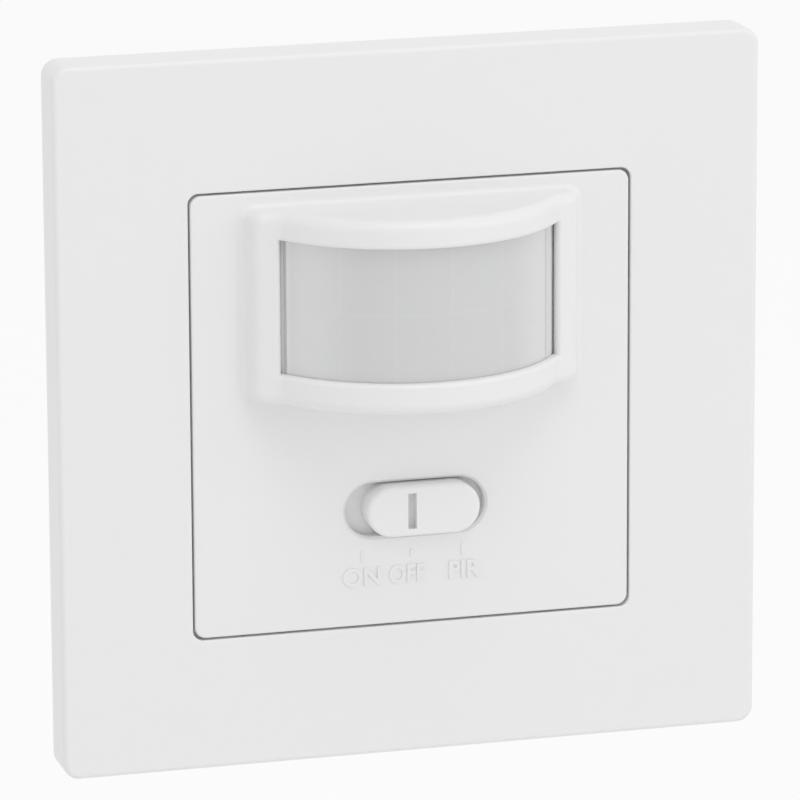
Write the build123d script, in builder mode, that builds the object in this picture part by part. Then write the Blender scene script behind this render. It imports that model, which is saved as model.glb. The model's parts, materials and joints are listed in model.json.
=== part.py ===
"""Flush-mounted motion sensor light switch, in millimetres.

X runs to the right, Z runs up, and the front faces -Y.
The wall surface is the plane Y = 0. Every height below is measured from it:
positive heights stand out into the room, negative heights lie inside the wall box.
The origin is midway between the two fixing slots of the support frame.
"""
from build123d import *
from math import cos, pi, sin, sqrt
import os

os.makedirs("parts", exist_ok=True)

# Clearances and cuts shared by all pieces
seat_gap = 0.15
sliding_gap = 0.1
running_gap = 0.05
opening_gap = 0.3
cut_overrun = 1.0

# How near an edge or a face must lie to a place to be picked there
pick_tolerance = 0.05

# Cover frame
frame_size = 80.5
frame_height = 5.5
frame_corner = 1.8
frame_edge_round = 0.6
frame_wall = 1.8
frame_face = 1.8
frame_skirt_wall = 1.3
frame_ledge_reach = 1.1
frame_ledge_thickness = 1.1
frame_rib_thickness = 1.0
frame_rib_offset = 24.0
aperture_corner = 1.2
aperture_edge_round = 0.2

# Insert cover: plate, skirt and snap hooks
insert_size = 50.2
insert_gap = 0.25
insert_corner = 1.25
insert_edge_round = 0.25
plate_thickness = 1.5
skirt_wall = 1.2
hook_width = 5.0
hook_offset = 11.0
hook_barb = 0.5
hook_barb_length = 1.2

# Sensor hood on the insert cover
hood_top_margin = 1.7
hood_side_margin = 5.9
hood_height = 21.7
hood_side_run = 0.9
hood_flat_run = 2.4
hood_corner_height = 2.4
hood_bow_height = 3.3
hood_projection = 12.2
hood_crease_round = 2.2
hood_corner_round = 1.6
hood_rim_round = 1.2
hood_root_round = 0.7
hood_cavity_margin = 0.4
window_side_margin = 0.14
window_top_margin = 3.1
window_bottom_margin = 3.5
window_edge_round = 0.45

# Fresnel lens and its retainer
lens_tuck = 0.65
lens_set_back = 1.15
lens_thickness = 0.7
lens_overlap = 0.9
lens_foot_span = 0.65
retainer_wall = 1.0
retainer_arc_margin = 0.1
retainer_rim = 1.6
retainer_window_inset = 1.4
retainer_plate_thickness = 0.8
stake_diameter = 1.4
stake_head_diameter = 2.0
stake_head_height = 0.4
stake_inset = 0.9

# Mode slider. At rest the knob stands in the right one of its three places.
slot_length = 16.2
slot_height = 6.2
slot_edge_distance = 13.25
slot_offset = 0.3
slot_chamfer = 0.3
slider_travel = 2.1
knob_end_gap = 1.0
knob_length = 13.0
knob_height = 5.8
knob_projection = 1.7
knob_dome_round = 0.5
groove_width = 1.0
groove_length = 4.1
groove_depth = 1.2
groove_offset = -1.4
flange_overlap = 0.4
flange_rise = 0.7
flange_thickness = 0.9
fork_prong = 1.2
fork_depth = 3.0
guide_rail_wall = 1.0
guide_rail_length = 20.0
guide_plate_thickness = 0.8
guide_slot_height = 3.6

# Support frame
strap_side_gap = 2.95
strap_thickness = 1.0
strap_corner = 3.0
strap_window_width = 34.4
strap_window_bridge = 2.5
strap_window_corner = 2.0
fixing_edge_distance = 5.5
fixing_slot_width = 3.6
fixing_slot_length = 8.0
strap_rim_length = 40.0
strap_rim_height = 1.6
pilot_hole_diameter = 3.2
strap_slot_margin = 0.4

# Rear housing
housing_width = 45.6
housing_height = 43.0
housing_wall = 1.6
housing_corner = 5.0
housing_depth = 31.0
terminal_step_depth = 15.0
terminal_step_z = -8.9
boss_diameter = 5.0
boss_x = 18.9
boss_z = 12.0
nib_reach = 0.6
nib_depth = 1.2
nib_length = 6.0
nib_z = 2.0
board_ledge_reach = 1.2
board_ledge_depth = 2.0
label_width = 26.0
label_height = 14.0
label_depth = 0.3

# Front tray
tray_thickness = 1.4
post_diameter = 4.4
post_x = 12.5
post_z = 16.2

# Boards
board_thickness = 1.6
board_edge_gap = 0.3
board_corner = 2.0
sensor_board_width = 31.2
sensor_board_height = 37.0
sensor_board_depth = 3.4
boss_clearance = 0.3

# Motion sensor
can_diameter = 8.2
can_height = 3.7
can_flange_diameter = 9.1
can_flange_thickness = 0.5
spacer_diameter = 9.0
spacer_height = 0.8
lead_diameter = 0.5
lead_circle = 5.1
lead_count = 3
lead_tail = 1.2
can_edge_round = 0.5
filter_width = 4.6
filter_height = 3.4
filter_thickness = 0.4

# Light sensor
light_sensor_x = 9.5
light_sensor_z = 5.6
light_sensor_diameter = 4.8
light_sensor_height = 2.2
light_sensor_round = 0.6

# Slide switch behind the knob
switch_case_width = 12.2
switch_case_height = 5.8
switch_case_thickness = 4.0
actuator_width = 2.0
actuator_height = 2.0
actuator_projection = 1.7
actuator_root = 1.2

# Trimmers
trimmer_x = 11.0
trimmer_z = -2.6
trimmer_width = 6.6
trimmer_height = 7.0
trimmer_base_thickness = 1.9
rotor_diameter = 5.0
rotor_thickness = 1.1
rotor_stem_diameter = 2.0
rotor_stem_length = 1.1
rotor_slot_length = 3.6
rotor_slot_width = 0.8
rotor_slot_depth = 0.6

# Small parts behind the sensor board
chip_length = 8.7
chip_width = 3.9
chip_height = 1.5
chip_z = 4.0
chip_part_length = 2.0
chip_part_width = 1.25
chip_part_height = 0.7
chip_part_spacing_x = 4.0
chip_part_spacing_z = 3.0
chip_part_z = -5.0
chip_part_columns = 5
chip_part_rows = 2

# Header between the boards
header_pins = 6
header_spacing = 2.54
header_z = -16.4
header_base_height = 2.5
header_base_width = 2.4
header_pin_width = 0.64
header_pin_tail = 0.6

# Parts on the main board
relay_width = 18.6
relay_height = 10.2
relay_depth = 15.3
relay_x = -9.3
relay_z = 12.3
relay_edge_round = 0.5
film_capacitor_width = 7.5
film_capacitor_height = 18.0
film_capacitor_depth = 14.0
film_capacitor_x = 15.0
film_capacitor_z = 3.0
film_capacitor_round = 0.8
storage_capacitor_diameter = 8.0
storage_capacitor_depth = 12.5
storage_capacitor_x = 5.8
storage_capacitor_z = 13.2
smoothing_capacitor_diameter = 6.3
smoothing_capacitor_depth = 11.0
smoothing_capacitor_x = 5.6
smoothing_capacitor_z = 4.8
capacitor_edge_round = 0.4
varistor_diameter = 8.0
varistor_thickness = 3.8
varistor_x = -15.6
varistor_z = 2.6
fuse_diameter = 7.0
fuse_depth = 8.0
fuse_x = -6.0
fuse_z = 1.8
bridge_width = 8.4
bridge_height = 4.4
bridge_depth = 3.2
bridge_x = -13.6
bridge_z = -4.2
resistor_length = 10.0
resistor_diameter = 3.6
resistor_x = 3.4
resistor_z = -4.2

# Terminal block
terminal_names = ("live", "neutral", "load")
terminal_spacing = 8.0
block_width = 26.4
block_top_gap = 0.4
block_height = 9.6
block_depth = 15.6
block_opening_gap = 0.25
chamber_width = 5.6
chamber_wall = 1.4
chamber_top_wall = 1.3
chamber_start = 2.0
chamber_end_gap = 0.5
wire_hole_diameter = 3.2
screw_well_diameter = 4.8
screw_well_depth = 2.5
screw_neck_diameter = 3.3
cage_width = 5.2
cage_length = 4.6
cage_depth = 7.4
cage_wall = 0.8
cage_start = 0.2
clamp_travel = 2.5
contact_width = 3.2
contact_thickness = 0.8
contact_offset = 4.6

# Screws
assembly_screw_diameter = 2.5
assembly_head_diameter = 4.6
assembly_head_height = 1.2
assembly_screw_length = 10.0
board_screw_diameter = 1.9
board_head_diameter = 3.4
board_head_height = 1.0
board_screw_length = 3.9
clamp_screw_diameter = 3.0
clamp_head_diameter = 4.4
clamp_head_height = 1.8
drive_slot_width = 0.7
drive_slot_depth = 0.6
thread_gap = 0.05

# Heights that follow from the sizes above
plate_back = frame_height - plate_thickness
ledge_back = plate_back - frame_ledge_thickness
skirt_foot = strap_thickness + assembly_head_height + seat_gap
aperture_size = insert_size + 2 * insert_gap
ledge_opening = aperture_size - 2 * frame_ledge_reach
frame_skirt_size = aperture_size + 2 * frame_skirt_wall
skirt_size = ledge_opening - 2 * seat_gap
hook_z = (skirt_size - skirt_wall) / 2
hood_top = insert_size / 2 - hood_top_margin
hood_bottom = hood_top - hood_height
hood_half_width = insert_size / 2 - hood_side_margin
hood_corner_half = hood_half_width - hood_side_run
hood_bow_half = hood_corner_half - hood_flat_run
hood_bow_rise = hood_projection - hood_bow_height
hood_bow_radius = (hood_bow_half**2 + hood_bow_rise**2) / (2 * hood_bow_rise)
hood_front = frame_height + hood_projection
window_half_width = hood_bow_half - window_side_margin
window_top = hood_top - window_top_margin
window_bottom = hood_bottom + window_bottom_margin
sensor_z = (window_top + window_bottom) / 2
slot_centre_z = slot_edge_distance - insert_size / 2
lens_radius = hood_bow_radius - lens_tuck
lens_front = hood_front - lens_set_back
lens_centre = lens_front - lens_radius
lens_bottom = window_bottom - lens_overlap
lens_top = window_top + lens_overlap
cavity_bottom = lens_bottom - hood_cavity_margin
cavity_top = lens_top + hood_cavity_margin
retainer_front = plate_back - lens_thickness
retainer_back = retainer_front - retainer_plate_thickness
flange_front = plate_back - sliding_gap
flange_back = flange_front - flange_thickness
knob_centre_x = slot_offset + (slot_length - knob_length) / 2 - knob_end_gap
knob_groove_x = knob_centre_x + groove_offset
flange_length = slot_length + 2 * (slider_travel / 2 + knob_end_gap + flange_overlap)
actuator_x = slider_travel / 2
flange_height = slot_height + 2 * flange_rise
guide_front = flange_back - sliding_gap
guide_back = guide_front - guide_plate_thickness
strap_size = frame_size - 2 * (frame_wall + strap_side_gap)
strap_window_height = 2 * (hook_z - skirt_wall / 2 - hook_barb - strap_slot_margin - strap_window_bridge)
fixing_spacing = strap_size - 2 * fixing_edge_distance
housing_inner_width = housing_width - 2 * housing_wall
housing_inner_height = housing_height - 2 * housing_wall
housing_inner_corner = housing_corner - housing_wall * (2 - sqrt(2))
sensor_board_front = -sensor_board_depth
sensor_board_back = sensor_board_front - board_thickness
step_floor = -(terminal_step_depth - housing_wall)
main_board_back = step_floor
main_board_front = main_board_back + board_thickness
main_board_width = housing_inner_width - 2 * board_edge_gap
main_board_height = housing_inner_height - 2 * board_edge_gap
block_top = terminal_step_z - block_top_gap
block_centre_z = block_top - block_height / 2
block_bottom = block_top - block_height
chamber_front = main_board_back - chamber_start
chamber_top = block_top - chamber_top_wall
chamber_bottom = block_bottom + chamber_wall
cage_front = chamber_front - cage_start
cage_back = cage_front - cage_depth
chamber_back = cage_back - clamp_travel - chamber_end_gap
contact_front = cage_front - contact_offset
contact_back = contact_front - contact_thickness
wire_height = (cage_front - cage_wall + contact_front) / 2

# Places and widths that follow from the sizes above
lens_end_half = sqrt(lens_radius**2 - (plate_back - lens_centre) ** 2)
lens_foot_centre = lens_end_half - lens_thickness / 2 + lens_foot_span / 2
guide_plate_half = knob_centre_x + flange_length / 2 + slider_travel + stake_diameter + stake_inset
guide_stake_x = guide_plate_half - stake_inset - stake_diameter / 2
retainer_stake_x = hood_half_width - stake_inset
retainer_stake_rise = (lens_top - lens_bottom) / 2 - stake_inset
switch_case_front = sensor_board_front + switch_case_thickness
assembly_hole_diameter = assembly_screw_diameter + 2 * seat_gap
assembly_pilot_diameter = assembly_screw_diameter + 2 * thread_gap
boss_hole_end = assembly_screw_length - strap_thickness + seat_gap
board_pilot_diameter = board_screw_diameter + 2 * thread_gap
board_hole_end = sensor_board_depth + board_thickness - board_screw_length - seat_gap
lead_places = tuple(
    (lead_circle / 2 * cos(angle), sensor_z + lead_circle / 2 * sin(angle))
    for angle in (2 * pi * turn / lead_count for turn in range(lead_count)))
header_hole = header_pin_width + 2 * running_gap
header_places = tuple(header_spacing * (pin - (header_pins - 1) / 2) for pin in range(header_pins))
terminal_places = tuple(
    terminal_spacing * (pole - (len(terminal_names) - 1) / 2) for pole in range(len(terminal_names)))
contact_leg_z = chamber_top - contact_thickness / 2 - running_gap
guide_stakes = ((-guide_stake_x, slot_centre_z), (guide_stake_x, slot_centre_z))
retainer_stakes = tuple(
    (side * retainer_stake_x, sensor_z + rise)
    for side in (-1, 1) for rise in (-retainer_stake_rise, retainer_stake_rise))


def at(height):
    """Plane parallel to the wall; its sketches read X to the right and Z up."""
    return Plane.XZ.offset(height)


def prism(low, high, width, height, centre=(0, 0), corner=0, mode=Mode.ADD):
    """Add or cut a rectangular prism between two heights, with rounded corners if asked."""
    with BuildSketch(at(low)) as outline:
        with Locations(centre):
            if corner:
                RectangleRounded(width, height, corner)
            else:
                Rectangle(width, height)
    extrude(outline.sketch, amount=high - low, mode=mode)


def drum(low, high, diameter, centres=((0, 0),), mode=Mode.ADD):
    """Add or cut upright cylinders between two heights, one at each centre."""
    with BuildSketch(at(low)) as outline:
        with Locations(*centres):
            Circle(diameter / 2)
    extrude(outline.sketch, amount=high - low, mode=mode)


def chamfered_prism(low, high, width, height, corner, mode=Mode.ADD):
    """Add or cut a prism whose four upright corners are cut off at 45 degrees."""
    with BuildSketch(at(low)) as outline:
        Rectangle(width, height)
        chamfer(outline.vertices(), corner)
    extrude(outline.sketch, amount=high - low, mode=mode)


def four(x, z):
    """The four mirrored places of a point."""
    return ((-x, -z), (x, -z), (x, z), (-x, z))


def save(builder, name):
    """Label a finished piece and write its file."""
    builder.part.label = name
    export_step(builder.part, f"parts/{name}.step")


# The square frame that hides the edge of the wall box.
with BuildPart() as cover_frame:
    prism(0, frame_height, frame_size, frame_size, corner=frame_corner)
    fillet(cover_frame.faces().sort_by(Axis.Y)[0].edges(), frame_edge_round)
    with BuildSketch(at(0)):
        Rectangle(frame_size - 2 * frame_wall, frame_size - 2 * frame_wall)
        Rectangle(frame_skirt_size, frame_skirt_size, mode=Mode.SUBTRACT)
    extrude(amount=frame_height - frame_face, mode=Mode.SUBTRACT)
    prism(0, skirt_foot, frame_skirt_size, frame_skirt_size, mode=Mode.SUBTRACT)
    prism(0, ledge_back, aperture_size, aperture_size, mode=Mode.SUBTRACT)
    prism(0, frame_height, ledge_opening, ledge_opening, mode=Mode.SUBTRACT)
    prism(plate_back, frame_height, aperture_size, aperture_size, corner=aperture_corner, mode=Mode.SUBTRACT)
    rib_length = (frame_size - frame_skirt_size) / 2 - frame_wall
    rib_centre = (frame_skirt_size + rib_length) / 2
    for side in (-1, 1):
        for offset in (-frame_rib_offset, frame_rib_offset):
            prism(skirt_foot, frame_height - frame_face, rib_length, frame_rib_thickness,
                  (side * rib_centre, offset))
            prism(skirt_foot, frame_height - frame_face, frame_rib_thickness, rib_length,
                  (offset, side * rib_centre))
    aperture_rim = cover_frame.faces().sort_by(Axis.Y)[0].inner_wires()[0].edges()
    fillet(aperture_rim, aperture_edge_round)
save(cover_frame, "cover_frame")

# The inner plate with its bowed sensor hood, window, slider slot, skirt and snap hooks.
with BuildPart() as insert_cover:
    with BuildSketch(Plane.XY.offset(hood_bottom)):
        with BuildLine():
            root_y = -(frame_height - plate_thickness / 2)
            left_root = (-hood_half_width, -frame_height)
            left_corner = (-hood_corner_half, -(frame_height + hood_corner_height))
            left_bow = (-hood_bow_half, -(frame_height + hood_bow_height))
            right_bow = (hood_bow_half, -(frame_height + hood_bow_height))
            right_corner = (hood_corner_half, -(frame_height + hood_corner_height))
            right_root = (hood_half_width, -frame_height)
            Polyline((-hood_half_width, root_y), left_root, left_corner, left_bow)
            ThreePointArc(left_bow, (0, -hood_front), right_bow)
            Polyline(right_bow, right_corner, right_root, (hood_half_width, root_y),
                     (-hood_half_width, root_y))
        make_face()
    extrude(amount=hood_top - hood_bottom)
    for height, radius in ((hood_bow_height, hood_crease_round), (hood_corner_height, hood_corner_round)):
        level = -(frame_height + height)
        upright = insert_cover.edges().filter_by(Axis.Z)
        fillet(upright.filter_by(lambda edge: abs((edge @ 0).Y - level) < pick_tolerance), radius)
    rims = insert_cover.edges().filter_by(lambda edge: abs((edge @ 0).Z - (edge @ 1).Z) < pick_tolerance)
    fillet(rims.filter_by(lambda edge: (edge @ 0.5).Y < -frame_height), hood_rim_round)

    prism(plate_back, frame_height, insert_size, insert_size, corner=insert_corner)
    front_face = insert_cover.faces().filter_by(Plane.XZ).filter_by_position(
        Axis.Y, -frame_height - pick_tolerance, -frame_height + pick_tolerance)[0]
    fillet(front_face.outer_wire().edges(), insert_edge_round)
    front_face = insert_cover.faces().filter_by(Plane.XZ).filter_by_position(
        Axis.Y, -frame_height - pick_tolerance, -frame_height + pick_tolerance)[0]
    fillet(front_face.inner_wires()[0].edges(), hood_root_round)

    # Hollow for the lens, on the lens's own centre, and the window cut through the bow.
    with BuildSketch(Plane.XY.offset(cavity_bottom)):
        with Locations((0, -lens_centre)):
            Circle(lens_radius + sliding_gap)
        with Locations((0, -plate_back)):
            Rectangle(insert_size, insert_size, align=(Align.CENTER, Align.MIN), mode=Mode.SUBTRACT)
    extrude(amount=cavity_top - cavity_bottom, mode=Mode.SUBTRACT)
    window_centre = (0, sensor_z)
    prism(frame_height, hood_front, 2 * window_half_width, window_top - window_bottom, window_centre,
          mode=Mode.SUBTRACT)
    window_rim = insert_cover.edges().filter_by(
        lambda edge: (edge @ 0.5).Y < -(frame_height + hood_bow_height - hood_crease_round / 2)
        and abs((edge @ 0.5).X) < window_half_width + pick_tolerance
        and window_bottom - pick_tolerance < (edge @ 0.5).Z < window_top + pick_tolerance)
    outer_rim = window_rim.filter_by(
        lambda edge: Vector((edge @ 0.5).X, (edge @ 0.5).Y + lens_centre, 0).length
        > lens_radius + lens_set_back / 2)
    fillet(outer_rim, window_edge_round)

    # Slider slot with its chamfered mouth.
    with BuildSketch(at(frame_height)):
        with Locations((slot_offset, slot_centre_z)):
            SlotOverall(slot_length, slot_height)
    extrude(amount=-plate_thickness, mode=Mode.SUBTRACT)
    slot_mouth = insert_cover.edges().filter_by_position(
        Axis.Y, -frame_height - pick_tolerance, -frame_height + pick_tolerance).filter_by(
        lambda edge: abs((edge @ 0.5).Z - slot_centre_z) < slot_height / 2 + pick_tolerance
        and abs((edge @ 0.5).X - slot_offset) < slot_length / 2 + pick_tolerance)
    chamfer(slot_mouth, slot_chamfer)

    # Skirt behind the plate and four hooks that snap through the support frame.
    with BuildSketch(at(skirt_foot)):
        Rectangle(skirt_size, skirt_size)
        Rectangle(skirt_size - 2 * skirt_wall, skirt_size - 2 * skirt_wall, mode=Mode.SUBTRACT)
    extrude(amount=plate_back - skirt_foot)
    hook_foot = -sliding_gap - 2 * hook_barb_length
    for x, z in four(hook_offset, hook_z):
        prism(hook_foot, plate_back, hook_width, skirt_wall, (x, z))
        outward = 1 if z > 0 else -1
        barb_z = z + outward * skirt_wall / 2
        with BuildSketch(Plane.YZ.offset(x - hook_width / 2)):
            with BuildLine():
                Polyline((sliding_gap, barb_z), (sliding_gap, barb_z + outward * hook_barb),
                         (sliding_gap + hook_barb_length, barb_z), close=True)
            make_face()
        extrude(amount=hook_width)

    # Rails that guide the slider, and stakes that hold the lens retainer and the guide plate.
    rail_z = (flange_height + guide_rail_wall) / 2 + sliding_gap
    for side in (-1, 1):
        prism(guide_back, plate_back, guide_rail_length, guide_rail_wall, (0, slot_centre_z + side * rail_z))
    for x, z in guide_stakes:
        drum(guide_back, plate_back, stake_diameter, ((x, z),))
        drum(guide_back - stake_head_height, guide_back, stake_head_diameter, ((x, z),))
    for x, z in retainer_stakes:
        drum(retainer_back, plate_back, stake_diameter, ((x, z),))
        drum(retainer_back - stake_head_height, retainer_back, stake_head_diameter, ((x, z),))
save(insert_cover, "insert_cover")

# Milky lens strip: a bowed sheet whose ends turn out into feet behind the plate.
with BuildPart() as fresnel_lens:
    with BuildSketch(Plane.XY.offset(lens_bottom)):
        with Locations((0, -lens_centre)):
            Circle(lens_radius)
            Circle(lens_radius - lens_thickness, mode=Mode.SUBTRACT)
        with Locations((0, -retainer_front)):
            Rectangle(insert_size, insert_size, align=(Align.CENTER, Align.MIN), mode=Mode.SUBTRACT)
        foot_y = -plate_back + sliding_gap
        with Locations((-lens_foot_centre, foot_y), (lens_foot_centre, foot_y)):
            Rectangle(lens_foot_span, lens_thickness - sliding_gap, align=(Align.CENTER, Align.MIN))
    extrude(amount=lens_top - lens_bottom)
save(fresnel_lens, "fresnel_lens")

# Frame that holds the lens strip from behind: a flat rim and a bowed inner wall.
with BuildPart() as lens_retainer:
    retainer_height = lens_top - lens_bottom + 2 * retainer_rim
    prism(retainer_back, retainer_front, 2 * hood_half_width, retainer_height, window_centre)
    arc_radius = lens_radius - lens_thickness - retainer_arc_margin
    with BuildSketch(Plane.XY.offset(lens_bottom)):
        with Locations((0, -lens_centre)):
            Circle(arc_radius)
        with Locations((0, -retainer_back)):
            Rectangle(insert_size, insert_size, align=(Align.CENTER, Align.MIN), mode=Mode.SUBTRACT)
    extrude(amount=lens_top - lens_bottom)
    with BuildSketch(Plane.XY.offset(lens_bottom - retainer_rim)):
        with Locations((0, -lens_centre)):
            Circle(arc_radius - retainer_wall)
    extrude(amount=retainer_height, mode=Mode.SUBTRACT)
    prism(retainer_front, hood_front, 2 * (window_half_width - retainer_window_inset),
          window_top - window_bottom, window_centre, mode=Mode.SUBTRACT)
    drum(retainer_back, retainer_front, stake_diameter + 2 * running_gap, retainer_stakes, mode=Mode.SUBTRACT)
save(lens_retainer, "lens_retainer")

# Sliding knob: a domed pad with a finger groove, a flange under the plate and a fork behind.
with BuildPart() as slider_knob:
    with BuildSketch(at(flange_back)):
        with Locations((knob_centre_x, slot_centre_z)):
            Rectangle(flange_length, flange_height)
    extrude(amount=flange_thickness)
    with BuildSketch(at(flange_front)):
        with Locations((knob_centre_x, slot_centre_z)):
            SlotOverall(knob_length, knob_height)
    extrude(amount=frame_height + knob_projection - flange_front)
    fillet(slider_knob.faces().sort_by(Axis.Y)[0].edges(), knob_dome_round)
    knob_top = frame_height + knob_projection
    prism(knob_top - groove_depth, knob_top + cut_overrun, groove_width, groove_length,
          (knob_groove_x, slot_centre_z), mode=Mode.SUBTRACT)
    for side in (-1, 1):
        prong_x = actuator_x + side * (actuator_width + fork_prong + 2 * running_gap) / 2
        prism(switch_case_front + sliding_gap, flange_back, fork_prong, fork_depth, (prong_x, slot_centre_z))
save(slider_knob, "slider_knob")

# Plate staked behind the slider flange, with a slot for the fork.
with BuildPart() as slider_guide:
    prism(guide_back, guide_front, 2 * guide_plate_half, flange_height, (0, slot_centre_z))
    fork_width = actuator_width + 2 * (fork_prong + running_gap)
    prism(guide_back, guide_front, fork_width + slider_travel + 2 * sliding_gap, guide_slot_height,
          (0, slot_centre_z), mode=Mode.SUBTRACT)
    drum(guide_back, guide_front, stake_diameter + 2 * running_gap, guide_stakes, mode=Mode.SUBTRACT)
save(slider_guide, "slider_guide")

# Sheet steel frame that is screwed to the wall box and carries the covers and the housing.
with BuildPart() as support_frame:
    prism(0, strap_thickness, strap_size, strap_size, corner=strap_corner)
    rim_offset = (strap_size - strap_thickness) / 2
    for side in (-1, 1):
        rim_front = strap_thickness + strap_rim_height
        prism(0, rim_front, strap_thickness, strap_rim_length, (side * rim_offset, 0))
        prism(0, rim_front, strap_rim_length, strap_thickness, (0, side * rim_offset))
    prism(0, strap_thickness, strap_window_width, strap_window_height, corner=strap_window_corner,
          mode=Mode.SUBTRACT)
    with BuildSketch(at(0)):
        with Locations((-fixing_spacing / 2, 0), (fixing_spacing / 2, 0)):
            SlotOverall(fixing_slot_length, fixing_slot_width)
        with Locations((0, -fixing_spacing / 2), (0, fixing_spacing / 2)):
            SlotOverall(fixing_slot_length, fixing_slot_width, rotation=90)
    extrude(amount=strap_thickness, mode=Mode.SUBTRACT)
    drum(0, strap_thickness, pilot_hole_diameter, four(fixing_spacing / 2, fixing_spacing / 2),
         mode=Mode.SUBTRACT)
    drum(0, strap_thickness, assembly_hole_diameter, four(boss_x, boss_z), mode=Mode.SUBTRACT)
    for x, z in four(hook_offset, hook_z):
        prism(0, strap_thickness, hook_width + 2 * strap_slot_margin,
              skirt_wall + 2 * (hook_barb + strap_slot_margin), (x, z), mode=Mode.SUBTRACT)
save(support_frame, "support_frame")

# Front tray: touch guard behind the support frame, with posts for the sensor board.
with BuildPart() as front_tray:
    chamfered_prism(-tray_thickness, 0, housing_inner_width - 2 * seat_gap,
                    housing_inner_height - 2 * seat_gap, housing_inner_corner)
    drum(sensor_board_front, -tray_thickness, post_diameter, four(post_x, post_z))
    drum(sensor_board_front, -board_hole_end, board_pilot_diameter, four(post_x, post_z), mode=Mode.SUBTRACT)
    drum(-tray_thickness, 0, can_diameter + 2 * opening_gap, ((0, sensor_z),), mode=Mode.SUBTRACT)
    drum(-tray_thickness, 0, light_sensor_diameter + 2 * opening_gap, ((light_sensor_x, light_sensor_z),),
         mode=Mode.SUBTRACT)
    drum(-tray_thickness, 0, rotor_diameter + 2 * opening_gap,
         ((-trimmer_x, trimmer_z), (trimmer_x, trimmer_z)), mode=Mode.SUBTRACT)
    prism(-tray_thickness, 0, switch_case_width + 2 * seat_gap, switch_case_height + 2 * seat_gap,
          (0, slot_centre_z), mode=Mode.SUBTRACT)
    drum(-tray_thickness, 0, assembly_hole_diameter, four(boss_x, boss_z), mode=Mode.SUBTRACT)
save(front_tray, "front_tray")

# Rear housing: a deep box with a step below it for the terminal block.
with BuildPart() as rear_housing:
    chamfered_prism(-housing_depth, 0, housing_width, housing_height, housing_corner)
    step_height = terminal_step_z + housing_height / 2
    prism(-housing_depth, -terminal_step_depth, housing_width, 2 * step_height,
          (0, -housing_height / 2), mode=Mode.SUBTRACT)
    chamfered_prism(step_floor, 0, housing_inner_width, housing_inner_height, housing_inner_corner,
                    mode=Mode.SUBTRACT)
    with BuildSketch(at(-housing_depth + housing_wall)) as deep_room:
        Rectangle(housing_inner_width, housing_inner_height)
        chamfer(deep_room.vertices(), housing_inner_corner)
        with Locations((0, terminal_step_z + housing_wall)):
            Rectangle(housing_width, housing_height, align=(Align.CENTER, Align.MAX), mode=Mode.SUBTRACT)
    extrude(amount=housing_depth - housing_wall, mode=Mode.SUBTRACT)
    drum(step_floor, -tray_thickness, boss_diameter, four(boss_x, boss_z))
    drum(-boss_hole_end, -tray_thickness, assembly_pilot_diameter, four(boss_x, boss_z), mode=Mode.SUBTRACT)
    prism(-terminal_step_depth, step_floor, block_width + 2 * block_opening_gap,
          block_height + 2 * block_opening_gap, (0, block_centre_z), mode=Mode.SUBTRACT)
    inner_half = housing_inner_width / 2
    nib_y = -main_board_front - running_gap
    for side in (-1, 1):
        prism(main_board_back - board_ledge_depth, main_board_back, board_ledge_reach, nib_length,
              (side * (inner_half - board_ledge_reach / 2), nib_z))
        with BuildSketch(Plane.XY.offset(nib_z - nib_length / 2)):
            with BuildLine():
                Polyline((side * inner_half, nib_y), (side * (inner_half - nib_reach), nib_y),
                         (side * inner_half, nib_y - nib_depth), close=True)
            make_face()
        extrude(amount=nib_length)
    label_z = (terminal_step_z + housing_height / 2) / 2
    prism(-housing_depth, -housing_depth + label_depth, label_width, label_height, (0, label_z),
          mode=Mode.SUBTRACT)
save(rear_housing, "rear_housing")

# Circuit board behind the tray; it carries the sensors, the switch and the trimmers.
with BuildPart() as sensor_board:
    chamfered_prism(sensor_board_back, sensor_board_front, sensor_board_width, sensor_board_height,
                    board_corner)
    drum(sensor_board_back, sensor_board_front, board_screw_diameter + 2 * seat_gap, four(post_x, post_z),
         mode=Mode.SUBTRACT)
    drum(sensor_board_back, sensor_board_front, lead_diameter + 2 * running_gap, lead_places,
         mode=Mode.SUBTRACT)
    for x in header_places:
        prism(sensor_board_back, sensor_board_front, header_hole, header_hole, (x, header_z),
              mode=Mode.SUBTRACT)
save(sensor_board, "sensor_board")

# Power board, notched round the housing bosses.
with BuildPart() as main_board:
    chamfered_prism(main_board_back, main_board_front, main_board_width, main_board_height,
                    housing_inner_corner)
    notch_width = boss_diameter + boss_clearance
    notch_height = boss_diameter + 2 * boss_clearance
    for x, z in four(boss_x + notch_width / 2 - boss_diameter / 2 - boss_clearance, boss_z):
        prism(main_board_back, main_board_front, notch_width, notch_height, (x, z), mode=Mode.SUBTRACT)
    for x in header_places:
        prism(main_board_back, main_board_front, header_hole, header_hole, (x, header_z), mode=Mode.SUBTRACT)
save(main_board, "main_board")

# Metal can of the motion sensor with its three leads.
with BuildPart() as motion_sensor:
    can_base = sensor_board_front + spacer_height
    drum(can_base, can_base + can_flange_thickness, can_flange_diameter, ((0, sensor_z),))
    drum(can_base, can_base + can_height, can_diameter, ((0, sensor_z),))
    fillet(motion_sensor.faces().sort_by(Axis.Y)[0].edges(), can_edge_round)
    drum(sensor_board_back - lead_tail, can_base, lead_diameter, lead_places)
    prism(can_base + can_height - filter_thickness, can_base + can_height + cut_overrun,
          filter_width, filter_height, (0, sensor_z), mode=Mode.SUBTRACT)
save(motion_sensor, "motion_sensor")

# Infrared filter window set into the top of the can.
with BuildPart() as sensor_filter:
    filter_back = can_base + can_height - filter_thickness
    prism(filter_back, can_base + can_height, filter_width, filter_height, (0, sensor_z))
save(sensor_filter, "sensor_filter")

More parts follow.
